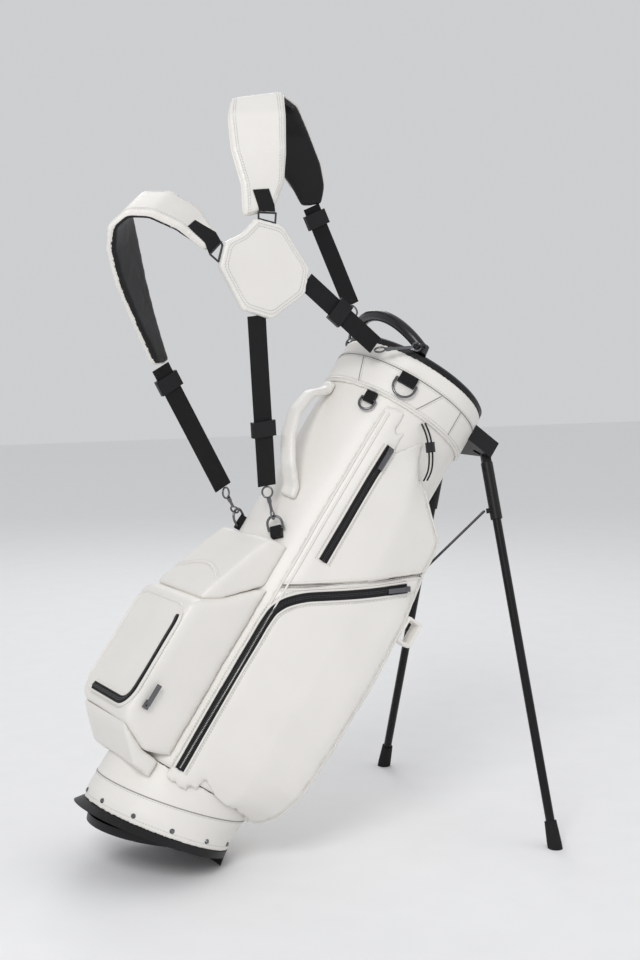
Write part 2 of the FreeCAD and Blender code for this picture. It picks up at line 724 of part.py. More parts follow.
def leg(name, side):
    """One leg: moulded sleeve, aluminium tube and rubber foot, with its link lug."""
    pivot, out, axis, length = leg_geometry(side)
    turn = axes(out, axis)
    place = Placement(pivot, turn)
    tube_r, sleeve_r = size("leg_diameter") / 2, size("sleeve_diameter") / 2
    sleeve_end, foot_start = size("sleeve_length"), length - size("foot_length")
    pin = size("pin_diameter") / 2 + size("pin_gap")

    eye = Part.makeCylinder(10, 12, Vector(-6, 0, 0), X_AXIS)
    neck = Part.makeBox(12, 16, 34, Vector(-6, -8, 0))
    barrel = Part.makeCylinder(sleeve_r, sleeve_end - 29, Vector(0, 0, 29))
    sleeve = eye.fuse([neck, barrel])
    sleeve = sleeve.cut(Part.makeCylinder(pin, 40, Vector(-20, 0, 0), X_AXIS))
    sleeve = sleeve.cut(Part.makeCylinder(tube_r + 0.1, sleeve_end, Vector(0, 0, 40)))
    tube = Part.makeCylinder(tube_r, foot_start + 30 - 42, Vector(0, 0, 42))
    foot = Part.makeCone(tube_r + 2.5, size("foot_diameter") / 2, size("foot_length") - 8,
                         Vector(0, 0, foot_start))
    foot = foot.fuse(Part.makeCylinder(size("foot_diameter") / 2, 12,
                                       Vector(0, 0, length - 8)))
    foot = foot.cut(Part.makeCylinder(tube_r + 0.1, 30, Vector(0, 0, foot_start)))
    for shape in (sleeve, tube, foot):
        shape.Placement = place
    eye_point, toward = link_lug(side)
    lug = rod(eye_point, eye_point - toward * 10, 4.5)
    sleeve = sleeve.fuse(lug.cut(rod(pivot, pivot + out * length, tube_r + 1)))
    floor = Part.makeBox(3000, 3000, 400, Vector(-1500, -1500, -400))
    floor.Placement = bag_frame.inverse()
    foot = foot.cut(floor)
    shape_part(f"{name}_leg_sleeve", sleeve)
    shape_part(f"{name}_leg_tube", tube)
    shape_part(f"{name}_leg_foot", foot)


def leg_housing():
    """Moulded bracket on the collar with a clevis for each leg."""
    reach, spread, height = size("pivot_reach"), size("pivot_spread"), size("pivot_height")
    inside = size("body_radius") + size("collar_padding") + 0.3
    block = Part.makeBox(reach + 9 - inside + 40, 2 * spread + 46, 30,
                         Vector(inside - 40, -spread - 23, height - 15))
    block = block.cut(Part.makeCylinder(inside, 200, Vector(0, 0, height - 100)))
    pins = []
    for side in (-1, 1):
        pivot, out, axis, length = leg_geometry(side)
        swing = math.degrees(out.getAngle(-Z_AXIS))
        for share in (0, 0.25, 0.5, 0.75, 1):
            direction = Rotation(axis, swing * share).multVec(out)
            slot = Part.makeBox(12.8, 26, 90, Vector(-6.4, -13, -13))
            slot.Placement = Placement(pivot, axes(direction, axis))
            block = block.cut(slot)
        pins.append(rod(pivot - axis * 15, pivot + axis * 15, size("pin_diameter") / 2))
        block = block.cut(rod(pivot - axis * 15, pivot + axis * 15, size("pin_diameter") / 2))
    shape_part("leg_housing", block)
    shape_part("leg_pins", Part.makeCompound(pins))


def slider_seat():
    """Back face of the actuator slider, in the middle of the shell's front."""
    return Vector(size("body_radius") + 0.6, 0, size("slider_height"))


def link_lug(side):
    """Face of the lug on a leg's sleeve that a link rod ends at, and the way it points."""
    pivot, out, axis, length = leg_geometry(side)
    centre = pivot + out * size("link_drop")
    toward = slider_seat() + Vector(9, side * 12, 0) - centre
    toward = unit(toward - out * toward.dot(out))
    return centre + toward * (size("sleeve_diameter") / 2 + 5), toward


def link_ends(side):
    """The link's ball in the slider and its free end beside the lug on the leg."""
    lug, toward = link_lug(side)
    inner = slider_seat() + Vector(9, side * 12, 0)
    outer = lug + toward * (size("link_wire") / 2 + size("link_gap"))
    return inner, outer


def actuator():
    """Slider with its push rod down the front of the shell, and the two link rods it drives."""
    seat = slider_seat()
    block = Part.makeBox(15, 40, 30, seat + Vector(0, -20, -15))
    push_rod = rod(seat + Vector(7, 0, -310), seat + Vector(7, 0, -10), 3)
    block = block.fuse(push_rod)
    for side in (-1, 1):
        inner, outer = link_ends(side)
        block = block.cut(Part.makeSphere(4.4, inner))
        block = block.cut(Part.makeCone(size("link_wire") / 2 + 0.8, size("link_wire") / 2 + 9, 40,
                                        inner, outer - inner))
        link = rod(inner, outer, size("link_wire") / 2)
        link = link.fuse([Part.makeSphere(4, inner), Part.makeSphere(size("link_wire") / 2, outer)])
        shape_part(("near" if side < 0 else "far") + "_link", link)
    shape_part("actuator_slider", block)


# ---------------------------------------------------------------- front fittings

def umbrella_tab():
    """Folded leather tab on the front edge of the near pocket that stands clear as a loop."""
    swell, reach = side_station(470)
    edge = side_outline(swell, reach)[5]
    outer = Part.makeBox(30, 26, 46, Vector(edge.x + size("fit_gap"), edge.y, 447))
    hole = Part.makeBox(22, 60, 36, Vector(edge.x + size("fit_gap") + 4, edge.y - 10, 452))
    shape_part("umbrella_tab", outer.cut(hole))


CORD_POINTS = [Vector(-15.6, -130.3, 779.5), Vector(-9, -141, 770), Vector(2, -147, 757),
               Vector(15, -149, 741), Vector(28, -146, 726), Vector(38, -139, 713),
               Vector(44, -129, 704)]
CORD_DIAMETER, STRAND_SPACING = 3.0, 7.0


def cord_tube(points, diameter):
    """A round tube along straight runs joined by tangent arcs; prints the smallest arc."""
    edges, start, radii = [], points[0], []
    for before, corner, after in zip(points, points[1:], points[2:]):
        into, out = unit(corner - before), unit(after - corner)
        turn = into.getAngle(out)
        reach = 0.45 * min((corner - before).Length, (after - corner).Length)
        radii.append(reach / math.tan(turn / 2))
        first, last = corner - into * reach, corner + out * reach
        bulge = unit(out - into)
        middle = corner + bulge * (radii[-1] / math.cos(turn / 2) - radii[-1])
        edges.append(Part.LineSegment(start, first).toShape())
        edges.append(Part.Arc(first, middle, last).toShape())
        start = last
    edges.append(Part.LineSegment(start, points[-1]).toShape())
    path = Part.Wire(edges)
    profile = Part.Wire(Part.Circle(points[0], points[1] - points[0], diameter / 2).toShape())
    tube = path.makePipe(Part.Face(profile))
    expected = math.pi * diameter ** 2 / 4 * path.Length
    print(f"cord arcs {min(radii):.1f} mm and up, length {path.Length:.1f} mm, "
          f"volume {tube.Volume / expected:.4f} of section times length")
    return tube


def elastic():
    """Elastic loop from the collar's hem to the pocket, with a cord lock round its strands."""
    aside = unit((CORD_POINTS[3] - CORD_POINTS[2]).cross(Y_AXIS)) * STRAND_SPACING
    strands = [cord_tube([point + aside * shift for point in CORD_POINTS], CORD_DIAMETER)
               for shift in (-0.5, 0.5)]
    shape_part("elastic_loop", Part.makeCompound(strands))
    start, end = CORD_POINTS[2], CORD_POINTS[3]
    along = unit(end - start)
    lock = Part.makeCylinder(8, 17, start + along * 1.5, along)
    for shift in (-0.5, 0.5):
        lock = lock.cut(rod(start + aside * shift - along * 20, end + aside * shift + along * 20,
                            CORD_DIAMETER / 2 + 0.7))
    shape_part("cord_lock", lock)


# ---------------------------------------------------------------- harness

LOWER_PAD = [  # near edge, far edge, bag frame
    (Vector(-480, -70, 797), Vector(-474, -68, 828)),
    (Vector(-540, -75, 795), Vector(-510, -22, 855)),
    (Vector(-585, -68, 785), Vector(-556, -8, 852)),
    (Vector(-613, -58, 766), Vector(-585, 12, 832)),
    (Vector(-618, -45, 738), Vector(-588, 28, 798)),
    (Vector(-597, -30, 712), Vector(-548, 36, 765)),
    (Vector(-552, -15, 682), Vector(-506, 42, 728)),
    (Vector(-485, 5, 650), Vector(-450, 50, 685)),
    (Vector(-418, 27, 622), Vector(-392, 53, 643))]
UPPER_PAD = [  # left edge, right edge, bag frame
    (Vector(-456, -68, 881), Vector(-423, -69, 921)),
    (Vector(-485, -66, 920), Vector(-430, -68, 965)),
    (Vector(-525, -50, 960), Vector(-457, -68, 1010)),
    (Vector(-550, -22, 1010), Vector(-482, -45, 1066)),
    (Vector(-550, 8, 1045), Vector(-492, -15, 1103)),
    (Vector(-510, 42, 1072), Vector(-448, 22, 1122)),
    (Vector(-455, 68, 1065), Vector(-392, 50, 1110)),
    (Vector(-402, 84, 1045), Vector(-342, 65, 1090)),
    (Vector(-350, 93, 1035), Vector(-310, 75, 1068)),
    (Vector(-318, 93, 1022), Vector(-296, 80, 1042))]
NEAR_SIDE = Vector(0, -1, 0)
ACROSS = bag_frame.Rotation.inverted().multVec(X_AXIS)    # level, along the centre pad
UPRIGHT = bag_frame.Rotation.inverted().multVec(Z_AXIS)   # plumb
PAD_MIDDLE = Vector(-385, -70, 834)                       # back face of the centre pad


def on_pad(x, z):
    """A point half-way through the centre pad, from its middle."""
    return (PAD_MIDDLE + ACROSS * x + UPRIGHT * z
            + NEAR_SIDE * (size("centre_pad_thickness") / 2))


def shoulder_pads():
    """Two padded shoulder bands, bowed as on a wearer's shoulders."""
    for name, edges in (("lower_shoulder_pad", LOWER_PAD), ("upper_shoulder_pad", UPPER_PAD)):
        shape_part(name, band(edges, size("pad_thickness")))


def centre_pad():
    """Eight-sided pad with a hollowed side between the two shoulder bands."""
    corners = [(-14, 74), (30, 65), (79, -2), (71, -43), (11, -83), (-40, -69), (-80, -2),
               (-70, 36), (-40, 50)]
    body = new_body("centre_pad")
    pad = body.newObject("PartDesign::Pad", "centre_pad_pad")
    pad.Profile = sketch_on(body, "XY_Plane", [(str(x), str(y)) for x, y in corners])
    bind(pad, Length="Sizes.centre_pad_thickness")
    body.Placement = Placement(bag_frame.multVec(PAD_MIDDLE), Rotation(X_AXIS, 90))
    parts.append(body)


def along_run(start, end):
    """A placement with z from start towards end and y square to the near side."""
    along = unit(end - start)
    across = unit(along.cross(NEAR_SIDE))
    return Placement(start, Rotation(across, along.cross(across), along, "ZXY"))


def run(start, end):
    """A straight run of webbing from start to end, its face towards the near side."""
    width, thick = size("webbing_width"), size("webbing_thickness")
    strap = Part.makeBox(width, thick, (end - start).Length, Vector(-width / 2, -thick / 2, 0))
    strap.Placement = along_run(start, end)
    return strap


def middle_of(edges):
    return (edges[0] + edges[1]) * 0.5


RUNS = {  # webbing runs of the harness: start, end
    "lower_webbing": (middle_of(LOWER_PAD[-1]) + Vector(5, 0, -5), Vector(-186, 52, 527)),
    "centre_webbing": (on_pad(-14, -78), Vector(-168, -52, 553)),
    "side_webbing": (on_pad(76.5, -22), Vector(-148, -90, 846)),
    "upper_webbing": (middle_of(UPPER_PAD[-1]) + Vector(2, 0, -3), Vector(-148, 72, 932))}
LOOPS = {  # corners of each wire loop in the centre pad's plane, foot first
    "lower": ((-80.9, 6), (-73.8, 31), (-75.5, 36.5), (-95, 17)),
    "upper": ((20.3, 69.1), (-9.5, 75.2), (-9.7, 85), (21.5, 85))}


def wire_loop(corners, wire):
    """A four-sided loop of wire."""
    pieces = [rod(a, b, wire) for a, b in zip(corners, corners[1:] + corners[:1])]
    return pieces[0].fuse(pieces[1:] + [Part.makeSphere(wire, corner) for corner in corners])


def pad_strap(edges, bar, places):
    """Webbing from a wire loop's bar on to the near face of a shoulder pad.

    Places are pairs: how far along the pad's first stretch, how far from its near edge.
    """
    half, thick, lift = size("loop_webbing_width") / 2, size("webbing_thickness"), 0.4
    first, second = band_sections(edges, size("pad_thickness"))[:2]
    across = unit(bar[1] - bar[0])
    if across.dot(first[1] - first[0]) < 0:
        across = -across
    toward = NEAR_SIDE.cross(across)
    stations = [(middle_of(bar) + toward * (size("loop_wire") + 0.5), across, NEAR_SIDE)]
    for share, from_near in places:
        near = first[0] + (second[0] - first[0]) * share
        far = first[1] + (second[1] - first[1]) * share
        along = second[0] + second[1] - first[0] - first[1]
        outward = unit((far - near).cross(along))
        point = near + (far - near) * from_near
        stations.append((point + outward * (lift + thick / 2), unit(far - near), outward))
    sections = []
    for point, across, outward in stations:
        wide, deep = across * half, outward * (thick / 2)
        sections.append([point - wide - deep, point + wide - deep,
                         point + wide + deep, point - wide + deep])
    return ruled(sections)


def webbing():
    """Webbing runs, the short lengths on the pads and their wire loops."""
    shoulder = []
    for name, (start, end) in RUNS.items():
        strap = run(start, end)
        if name in ("lower_webbing", "upper_webbing"):
            shoulder.append(strap)
        else:
            shape_part(name, strap)
    shape_part("shoulder_webbing", Part.makeCompound(shoulder))
    straps, wires = [], []
    for edges, corners, places in (
            (LOWER_PAD, LOOPS["lower"], ((0.12, 0.5), (0.8, 0.3))),
            (UPPER_PAD, LOOPS["upper"], ((0.12, 0.7), (0.8, 0.42)))):
        corners = [on_pad(*corner) for corner in corners]
        wires.append(wire_loop(corners, size("loop_wire")))
        straps.append(pad_strap(edges, corners[2:], places))
    shape_part("pad_webbing", Part.makeCompound(straps))
    shape_part("wire_loops", Part.makeCompound(wires))


def adjuster(start, end, share):
    """A frame with two slots round a webbing run, at a share of its length."""
    width, thick = size("webbing_width"), size("webbing_thickness")
    frame = Part.makeBox(width + 10, thick + 6, 26, Vector(-width / 2 - 5, -thick / 2 - 3, -13))
    hole = Part.makeBox(width + 1, thick + 0.8, 40, Vector(-width / 2 - 0.5, -thick / 2 - 0.4, -20))
    frame = frame.cut(hole)
    frame.Placement = along_run(start + (end - start) * share, end)
    return frame


def strap_hardware():
    """Sliding adjusters on two runs and ladder locks on the other two."""
    for name, share in (("centre_webbing", 0.66), ("side_webbing", 0.48)):
        start, end = RUNS[name]
        shape = adjuster(start, end, share)
        shape_part(name.replace("webbing", "adjuster"), shape)
    locks = []
    for name in ("lower_webbing", "upper_webbing"):
        start, end = RUNS[name]
        locks.append(adjuster(start, end, 0.13))
    shape_part("ladder_locks", Part.makeCompound(locks))


def snap_hook(name, eye_point, end, facing):
    """A snap hook from the eye on a run to its anchor: eye, swivel, hook and sprung gate."""
    down = unit(end - eye_point)
    facing = unit(facing - down * facing.dot(down))
    normal = down.cross(facing)
    ring = hoop(eye_point, facing, HOOK_EYE, HOOK_WIRE)
    swivel_top = eye_point + down * (HOOK_EYE + HOOK_WIRE / 2 - 0.5)
    swivel = rod(swivel_top, swivel_top + down * 8, 3.6)
    bow = 7.0
    bow_centre = end - down * bow
    shank = rod(swivel_top + down * 8, bow_centre - down * bow, 2.6)
    gap = Part.makeBox(7, 8, 9, Vector(-3.5, -4, -4.5))
    gap.Placement = Placement(bow_centre + facing * bow, Rotation(normal, facing, -down, "ZXY"))
    body = ring.fuse([swivel, shank, hoop(bow_centre, normal, bow, HOOK_WIRE)]).cut(gap)
    shape_part(f"{name}_hook", body)
    gate_middle = bow_centre + facing * bow
    shape_part(f"{name}_gate", rod(gate_middle - down * 4, gate_middle + down * 4, 1.4))


def shoe_eye(side):
    """Centre and hole direction of the eye beside a foot of the top handle."""
    foot = handle_foot(side)
    out = unit(Vector(foot.x, foot.y, 0))
    centre = foot + out * (SHOE_RADIUS + 6.5) + Z_AXIS * 6
    arrival = unit(centre - eye_centre("side_webbing" if side < 0 else "upper_webbing"))
    tangent = out.cross(Z_AXIS) * -side
    return centre, unit(tangent - arrival * tangent.dot(arrival))


def hook_lines():
    """Eye centre, far end and facing direction of the four snap hooks."""
    lines = {}
    gap = 1.0
    for name, ring in (("centre", "near_d_ring"), ("lower", "far_d_ring")):
        hinge, sideways, pull = ring_axes(ring)
        bow, throat = RINGS[ring][3:]
        reach = throat + bow - size("ring_wire") / 2 - HOOK_WIRE / 2 - gap
        lines[name] = (eye_centre(f"{name}_webbing"), hinge + pull * reach, sideways.cross(pull))
    for name, side in (("side", -1), ("upper", 1)):
        start = eye_centre(f"{name}_webbing")
        eye, hole = shoe_eye(side)
        end = eye - unit(eye - start) * (EYE_RADIUS - EYE_WIRE / 2 - HOOK_WIRE / 2 - 0.5)
        lines[name] = (start, end, hole)
    return lines


def hooks():
    """The four snap hooks between the webbing and the rings and eyes."""
    for name, line in hook_lines().items():
        snap_hook(name, *line)


# ---------------------------------------------------------------- build and export

base_cup()
base_sleeve()
base_rivets()
foot_plate()
body_shell()
top_collar()
top_rim()
top_handle()
carry_handle()
side_pockets()
spine_pockets()
for ring_name in RINGS:
    d_ring(ring_name)
ring_tabs()
leg("near", -1)
leg("far", 1)
leg_housing()
actuator()
umbrella_tab()
elastic()
shoulder_pads()
centre_pad()
webbing()
strap_hardware()
hooks()
doc.recompute()

for obj in doc.Objects:
    if "Invalid" in obj.State or "Error" in obj.State:
        raise RuntimeError(f"{obj.Label}: {obj.State}")
for part in parts:
    if part.Shape.isNull() or not part.Shape.isValid() or not part.Shape.Solids:
        raise RuntimeError(f"{part.Label} has no valid solid")
os.makedirs("parts", exist_ok=True)
for part in parts:
    part.Shape.exportStep(f"parts/{part.Label}.step")
print(f"{len(parts)} sub-parts written")
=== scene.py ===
"""Looks of the golf stand bag: soft leather pieces, trim, materials, light and camera."""
import math

import bpy
from mathutils import Matrix, Vector, noise
from mathutils.bvhtree import BVHTree
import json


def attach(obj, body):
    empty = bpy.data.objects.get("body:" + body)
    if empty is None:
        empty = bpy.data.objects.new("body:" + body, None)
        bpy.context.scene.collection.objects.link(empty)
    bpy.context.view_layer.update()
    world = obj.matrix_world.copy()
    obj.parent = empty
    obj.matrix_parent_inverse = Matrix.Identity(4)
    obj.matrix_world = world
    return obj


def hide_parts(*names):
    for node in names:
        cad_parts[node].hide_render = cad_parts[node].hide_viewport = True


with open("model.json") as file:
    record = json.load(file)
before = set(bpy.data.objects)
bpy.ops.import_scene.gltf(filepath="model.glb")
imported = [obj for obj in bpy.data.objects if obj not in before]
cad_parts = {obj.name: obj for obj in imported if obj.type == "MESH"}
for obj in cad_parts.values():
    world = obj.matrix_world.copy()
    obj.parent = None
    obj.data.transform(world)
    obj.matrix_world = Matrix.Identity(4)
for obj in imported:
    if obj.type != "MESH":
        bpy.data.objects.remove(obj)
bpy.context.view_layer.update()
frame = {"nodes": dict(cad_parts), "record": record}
nodes = frame["nodes"]
scene = bpy.context.scene

# ------------------------------------------------------------------ camera, light, floor

AZIMUTH, ELEVATION, DISTANCE = math.radians(-29.5), math.radians(5.7), 2.5
TARGET = Vector((0.2156, 0, 0.6187))


def add_camera():
    back = Vector((math.sin(AZIMUTH) * math.cos(ELEVATION),
                   -math.cos(AZIMUTH) * math.cos(ELEVATION), math.sin(ELEVATION)))
    data = bpy.data.cameras.new("camera")
    data.sensor_width = 36
    data.lens = 54.64
    camera = bpy.data.objects.new("camera", data)
    camera.location = TARGET + back * DISTANCE
    camera.rotation_euler = (-back).to_track_quat("-Z", "Y").to_euler()
    scene.collection.objects.link(camera)
    scene.camera = camera


def add_light(name, place, aim, size, power):
    data = bpy.data.lights.new(name, "AREA")
    data.energy = power
    data.shape = "DISK"
    data.size = size
    lamp = bpy.data.objects.new(name, data)
    lamp.location = place
    lamp.rotation_euler = (Vector(aim) - Vector(place)).to_track_quat("-Z", "Y").to_euler()
    scene.collection.objects.link(lamp)


def add_studio():
    world = bpy.data.worlds.new("studio")
    world.use_nodes = True
    world.node_tree.nodes["Background"].inputs["Color"].default_value = (0.93, 0.94, 0.96, 1)
    world.node_tree.nodes["Background"].inputs["Strength"].default_value = 0.66
    scene.world = world
    add_light("key", (-2.2, -2.4, 2.9), (0.1, 0, 0.5), 1.6, 62)
    add_light("fill", (2.6, -2.0, 1.8), (0.2, 0, 0.5), 2.2, 6)
    add_light("back", (1.2, 2.6, 2.6), (0.2, 0, 0.6), 1.6, 18)
    scene.view_settings.view_transform = "Standard"
    mesh = bpy.data.meshes.new("floor")
    mesh.from_pydata([(-9, -9, 0), (9, -9, 0), (9, 9, 0), (-9, 9, 0)], [], [(0, 1, 2, 3)])
    floor = bpy.data.objects.new("floor", mesh)
    scene.collection.objects.link(floor)
    mesh.materials.append(make_material("floor_paper", (0.9, 0.9, 0.9), 0.8, tint=0.01))


# ------------------------------------------------------------------ materials

def make_material(name, color, rough, metal=0.0, grain=0.0, grain_size=0.001, tint=0.05,
                  crease=0.0, coat=0.0, sheen=0.0, weave=0.0, rough_change=0.06, shine=0.5):
    """Principled material with colour and roughness variation, and grain, creases or weave."""
    mat = bpy.data.materials.new(name)
    mat.use_nodes = True
    tree = mat.node_tree
    shader = tree.nodes["Principled BSDF"]
    shader.inputs["Metallic"].default_value = metal
    shader.inputs["Coat Weight"].default_value = coat
    shader.inputs["Coat Roughness"].default_value = 0.3
    shader.inputs["Sheen Weight"].default_value = sheen
    shader.inputs["Specular IOR Level"].default_value = shine

    def node(kind, **values):
        made = tree.nodes.new(kind)
        for key, value in values.items():
            made.inputs[key].default_value = value
        return made

    place = node("ShaderNodeTexCoord").outputs["Object"]
    cloud = node("ShaderNodeTexNoise", Scale=14.0, Detail=5.0)
    tree.links.new(place, cloud.inputs["Vector"])
    ramp = node("ShaderNodeValToRGB")
    darker = [c * (1 - tint) for c in color]
    lighter = [min(1, c * (1 + tint)) for c in color]
    ramp.color_ramp.elements[0].position, ramp.color_ramp.elements[1].position = 0.3, 0.7
    ramp.color_ramp.elements[0].color = (*darker, 1)
    ramp.color_ramp.elements[1].color = (*lighter, 1)
    tree.links.new(cloud.outputs["Fac"], ramp.inputs["Fac"])
    tree.links.new(ramp.outputs["Color"], shader.inputs["Base Color"])
    low, high = rough - rough_change, rough + rough_change
    spread = node("ShaderNodeMapRange", **{"To Min": low, "To Max": high})
    tree.links.new(cloud.outputs["Fac"], spread.inputs["Value"])
    tree.links.new(spread.outputs["Result"], shader.inputs["Roughness"])
    normal = None

    def bump(height, strength, distance):
        nonlocal normal
        made = node("ShaderNodeBump", Strength=strength, Distance=distance)
        tree.links.new(height, made.inputs["Height"])
        if normal:
            tree.links.new(normal, made.inputs["Normal"])
        normal = made.outputs["Normal"]
        tree.links.new(normal, shader.inputs["Normal"])

    if crease:
        folds = node("ShaderNodeTexNoise", Scale=26.0, Detail=3.0, Distortion=0.8)
        tree.links.new(place, folds.inputs["Vector"])
        bump(folds.outputs["Fac"], crease, 0.004)
    if grain:
        cells = node("ShaderNodeTexVoronoi", Scale=1 / grain_size)
        tree.links.new(place, cells.inputs["Vector"])
        bump(cells.outputs["Distance"], grain, 0.0002)
    if weave:
        for turn in (0.6, -0.9):
            wave = node("ShaderNodeTexWave", Scale=1 / 0.0035)
            mapping = node("ShaderNodeMapping", Rotation=(turn, turn * 0.5, 0.4))
            tree.links.new(place, mapping.inputs["Vector"])
            tree.links.new(mapping.outputs["Vector"], wave.inputs["Vector"])
            bump(wave.outputs["Fac"], weave, 0.0004)
    return mat


LEATHER = make_material("white_leather", (0.80, 0.775, 0.735), 0.42, grain=0.12, grain_size=0.0016,
                        tint=0.018, crease=0.16, coat=0.12)
SEAM = make_material("seam_shadow", (0.30, 0.29, 0.28), 0.7, tint=0.08, grain=0.2)
THREAD = make_material("thread", (0.66, 0.65, 0.63), 0.6, tint=0.05, weave=0.3)
PIPE = make_material("piping_leather", (0.78, 0.755, 0.715), 0.36, tint=0.02, grain=0.1, coat=0.15)
LINING = make_material("satin_lining", (0.007, 0.007, 0.008), 0.38, tint=0.2, sheen=0.0, crease=0.3,
                       shine=0.28)
LINER = make_material("shell_liner", (0.045, 0.045, 0.05), 0.85, tint=0.15, weave=0.4)
PLASTIC = make_material("moulded_black", (0.009, 0.009, 0.010), 0.42, tint=0.12, grain=0.22,
                        grain_size=0.0009,
                        shine=0.28)
SHINY = make_material("moulded_gloss", (0.012, 0.012, 0.013), 0.24, tint=0.1, grain=0.05, coat=0.3,
                      shine=0.28)
WEBBING = make_material("webbing_black", (0.007, 0.007, 0.008), 0.6, tint=0.15, weave=0.8,
                        shine=0.28)
TAPE = make_material("tape_black", (0.013, 0.013, 0.014), 0.7, tint=0.2, weave=0.6,
                     shine=0.28)
TEETH = make_material("zip_teeth", (0.03, 0.03, 0.032), 0.35, tint=0.2, coat=0.2, grain=0.1)
GUNMETAL = make_material("gunmetal", (0.17, 0.17, 0.18), 0.25, metal=1.0, tint=0.08, grain=0.05)
TUBE = make_material("tube_black", (0.009, 0.009, 0.010), 0.3, metal=0.5, tint=0.1, coat=0.2, grain=0.04,
                     shine=0.28)
RUBBER = make_material("rubber_black", (0.010, 0.010, 0.010), 0.75, tint=0.15, grain=0.35, grain_size=0.0012,
                       shine=0.28)
WIRE = make_material("steel_wire", (0.06, 0.06, 0.065), 0.35, metal=0.8, tint=0.1, grain=0.05)
ELASTIC = make_material("elastic_black", (0.02, 0.02, 0.02), 0.75, tint=0.2, weave=0.6,
                        shine=0.28)

# ------------------------------------------------------------------ the bag's own frame

BAG = Matrix.Translation((-0.0935, 0, 0.071)) @ Matrix.Rotation(math.radians(35), 4, "Y")
BASE = Matrix.Translation((-0.0935, 0, 0.071)) @ Matrix.Rotation(math.radians(24.5), 4, "Y")
BODY_RADIUS, BODY_LENGTH = 129, 868
POCKET_FRONT, POCKET_DEPTH, BALL_DEPTH = 126, 168, 197


def bag(x, y, z):
    """A point of the bag's frame, in millimetres, as a point of the scene in metres."""
    return BAG @ (Vector((x, y, z)) / 1000)


def round_bag(radius, phi, height):
    """A point at an angle from the near side towards the spine."""
    turn = math.radians(phi)
    return bag(-radius * math.sin(turn), -radius * math.cos(turn), height)


def link(name, mesh, *materials):
    made = bpy.data.objects.new(name, mesh)
    scene.collection.objects.link(made)
    for mat in materials:
        mesh.materials.append(mat)
    return made


def finish_piece(piece, body="bag", smooth=True):
    """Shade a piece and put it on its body."""
    if smooth:
        piece.data.polygons.foreach_set("use_smooth", [True] * len(piece.data.polygons))
    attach(piece, body)
    return piece


def applied(piece):
    """Replace a piece's mesh by the one its modifiers make."""
    graph = bpy.context.evaluated_depsgraph_get()
    mesh = bpy.data.meshes.new_from_object(piece.evaluated_get(graph))
    piece.modifiers.clear()
    old = piece.data
    piece.data = mesh
    bpy.data.meshes.remove(old)
    return piece


def node_copy(node, name, *materials):
    """A mesh copy of a CAD node, in the scene's frame."""
    mesh = nodes[node].data.copy()
    mesh.transform(nodes[node].matrix_world)
    mesh.materials.clear()
    return link(name, mesh, *materials)


def swell_out(piece, swell, sag, scale):
    """Move a piece's surface outward by an even amount and an uneven one."""
    mesh = piece.data
    normals = [vertex.normal.copy() for vertex in mesh.vertices]
    places = [vertex.co.copy() for vertex in mesh.vertices]
    moved = []
    for place, normal in zip(places, normals):
        moved.extend(place + normal * (swell + noise.noise(place * scale) * sag))
    mesh.vertices.foreach_set("co", moved)
    mesh.update()


def soften(node, name, mat=None, voxel=0.004, rounds=8, swell=0.0, sag=0.0):
    """A soft piece over a CAD node: remeshed, relaxed, filled out again and slightly uneven."""
    piece = node_copy(node, name, mat or LEATHER)
    remesh = piece.modifiers.new("remesh", "REMESH")
    remesh.mode = "VOXEL"
    remesh.voxel_size = voxel
    relax = piece.modifiers.new("relax", "SMOOTH")
    relax.factor = 0.5
    relax.iterations = rounds
    applied(piece)
    swell_out(piece, swell, sag, 13)
    finer = piece.modifiers.new("finer", "SUBSURF")
    finer.levels = finer.render_levels = 1
    applied(piece)
    return piece


def soft_node(node, slot="white_leather", pad=None, **shape):
    piece = soften(node, f"{node}_soft", **shape)
    finish_piece(piece)
    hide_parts(node)
    return piece


def tree_of(*pieces):
    """One search tree over the surfaces of several pieces."""
    points, faces = [], []
    for piece in pieces:
        first = len(points)
        points += [vertex.co.copy() for vertex in piece.data.vertices]
        faces += [[first + i for i in face.vertices] for face in piece.data.polygons]
    return BVHTree.FromPolygons(points, faces)


def dense(points, step=0.004):
    """Points spread evenly along a line."""
    line = []
    for before, after in zip(points, points[1:]):
        count = max(1, int((after - before).length / step))
        line += [before.lerp(after, i / count) for i in range(count)]
    return line + [points[-1]]


def evened(points, rounds=3):
    for _ in range(rounds):
        inner = [(a + b * 2 + c) / 4 for a, b, c in zip(points, points[1:], points[2:])]
        points = [points[0]] + inner + [points[-1]]
    return points


def laid(tree, points, lift=0.0, toward=None):
    """Points laid on a surface: straight along toward if given, else the nearest."""
    line = []
    for point in dense(points):
        if toward is not None:
            place, normal, *_ = tree.ray_cast(point, toward)
        else:
            place, normal, *_ = tree.find_nearest(point)
        if place:
            line.append((place, normal))
    places = evened([place + normal * lift for place, normal in line])
    return list(zip(places, [normal for _, normal in line]))


def tube(name, line, radius, mat, body="bag", closed=False):
    """Piping or cord along a laid line."""
    curve = bpy.data.curves.new(name, "CURVE")
    curve.dimensions = "3D"
    curve.bevel_depth = radius
    curve.bevel_resolution = 2
    curve.use_fill_caps = True
    spline = curve.splines.new("POLY")
    spline.points.add(len(line) - 1)
    for target, (place, _) in zip(spline.points, line):
        target.co = (*place, 1)
    spline.use_cyclic_u = closed
    source = bpy.data.objects.new(name, curve)
    scene.collection.objects.link(source)
    graph = bpy.context.evaluated_depsgraph_get()
    mesh = bpy.data.meshes.new_from_object(source.evaluated_get(graph))
    bpy.data.objects.remove(source)
    mesh.materials.clear()
    return finish_piece(link(name, mesh, mat), body)


